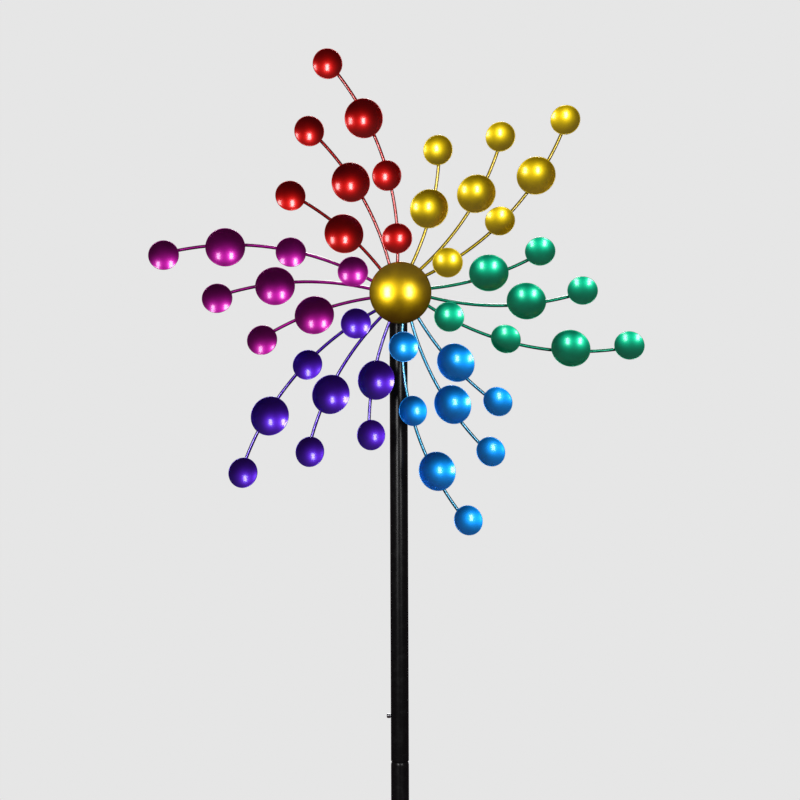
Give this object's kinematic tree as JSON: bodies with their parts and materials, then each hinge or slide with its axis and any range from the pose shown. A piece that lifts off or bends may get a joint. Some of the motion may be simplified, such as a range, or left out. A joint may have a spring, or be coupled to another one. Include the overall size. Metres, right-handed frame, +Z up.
{
  "type": "garden wind spinner",
  "caption": "Garden wind spinner: a rotor of small coloured wind cups on bent wire arms turns on an axle at the top of a knock-down stake pole.",
  "frame": {"origin": "on the pole axis at ground level, at the middle of the underside of the foot cross", "axes": "+Z up along the pole, -Y to the front where the rotor faces, +X to the right seen from the front; the rotor axle lies along Y"},
  "size_m": [0.598, 0.2, 2.1233],
  "materials": {
    "green_enamel": "satin-gloss metallic candy enamel, green",
    "yellow_enamel": "satin-gloss metallic candy enamel, yellow gold",
    "red_enamel": "satin-gloss metallic candy enamel, deep red",
    "magenta_enamel": "satin-gloss metallic candy enamel, magenta",
    "indigo_enamel": "satin-gloss metallic candy enamel, indigo violet",
    "blue_enamel": "satin-gloss metallic candy enamel, blue",
    "gold_enamel": "satin metallic gold enamel",
    "black_enamel": "gloss black powder coat",
    "black_plastic": "moulded black plastic",
    "zinc_plate": "bright zinc plated steel",
    "bearing_steel": "ground bearing steel"
  },
  "bodies": {
    "foot": {"foot_cross": "black_enamel", "foot_spigot": "black_enamel", "right_ground_spike": "black_enamel", "back_ground_spike": "black_enamel", "left_ground_spike": "black_enamel", "front_ground_spike": "black_enamel"},
    "pole_lower": {"pole_lower": "black_enamel"},
    "pole_middle": {"pole_middle": "black_enamel"},
    "pole_head": {"pole_upper": "black_enamel", "pole_top_cap": "black_plastic", "axle_bolt": "zinc_plate", "rear_saddle_washer": "zinc_plate", "front_saddle_washer": "zinc_plate", "axle_clamp_nut": "zinc_plate", "rear_axle_washer": "zinc_plate", "rear_bearing_inner_ring": "bearing_steel", "bearing_spacer": "zinc_plate", "front_bearing_inner_ring": "bearing_steel", "front_axle_washer": "zinc_plate", "axle_lock_nut": "zinc_plate"},
    "rotor": {"green_long_arm": "green_enamel", "green_middle_arm": "green_enamel", "green_short_arm": "green_enamel", "yellow_long_arm": "yellow_enamel", "yellow_middle_arm": "yellow_enamel", "yellow_short_arm": "yellow_enamel", "red_long_arm": "red_enamel", "red_middle_arm": "red_enamel", "red_short_arm": "red_enamel", "magenta_long_arm": "magenta_enamel", "magenta_middle_arm": "magenta_enamel", "magenta_short_arm": "magenta_enamel", "indigo_long_arm": "indigo_enamel", "indigo_middle_arm": "indigo_enamel", "indigo_short_arm": "indigo_enamel", "blue_long_arm": "blue_enamel", "blue_middle_arm": "blue_enamel", "blue_short_arm": "blue_enamel", "hub_barrel": "zinc_plate", "hub_dome": "gold_enamel", "rear_bearing_outer_ring": "bearing_steel", "front_bearing_outer_ring": "bearing_steel"},
    "rear_ball_cage": {"rear_bearing_ball_cage": "bearing_steel"},
    "front_ball_cage": {"front_bearing_ball_cage": "bearing_steel"},
    "upper_pole_screw": {"upper_pole_screw": "zinc_plate"},
    "middle_pole_screw": {"middle_pole_screw": "zinc_plate"},
    "lower_pole_screw": {"lower_pole_screw": "zinc_plate"}
  },
  "joints": [
    {"name": "pole_lower_pull_out", "type": "slide", "parent": "foot", "child": "pole_lower", "axis": [0, 0, 1], "range_m": [0, 0.07]},
    {"name": "pole_middle_pull_out", "type": "slide", "parent": "pole_lower", "child": "pole_middle", "axis": [0, 0, 1], "range_m": [0, 0.07]},
    {"name": "pole_turn", "type": "hinge", "parent": "pole_middle", "child": "pole_head", "pos_m": [0, 0, 1.029], "axis": [0, 0, 1], "continuous": true},
    {"name": "rotor_spin", "type": "hinge", "parent": "pole_head", "child": "rotor", "pos_m": [0, 0, 1.6], "axis": [0, 1, 0], "continuous": true},
    {"name": "rear_ball_cage_spin", "type": "hinge", "parent": "pole_head", "child": "rear_ball_cage", "pos_m": [0, 0, 1.6], "axis": [0, 1, 0], "continuous": true},
    {"name": "front_ball_cage_spin", "type": "hinge", "parent": "pole_head", "child": "front_ball_cage", "pos_m": [0, 0, 1.6], "axis": [0, 1, 0], "continuous": true},
    {"name": "upper_pole_screw_back_out", "type": "slide", "parent": "pole_head", "child": "upper_pole_screw", "axis": [-1, 0, 0], "range_m": [0, 0.0012]},
    {"name": "middle_pole_screw_back_out", "type": "slide", "parent": "pole_middle", "child": "middle_pole_screw", "axis": [-1, 0, 0], "range_m": [0, 0.0012]},
    {"name": "lower_pole_screw_back_out", "type": "slide", "parent": "pole_lower", "child": "lower_pole_screw", "axis": [-1, 0, 0], "range_m": [0, 0.0012]}
  ],
  "couplings": [
    {"joint": "rear_ball_cage_spin", "follows": "rotor_spin", "ratio": 0.3684},
    {"joint": "front_ball_cage_spin", "follows": "rotor_spin", "ratio": 0.3684}
  ]
}
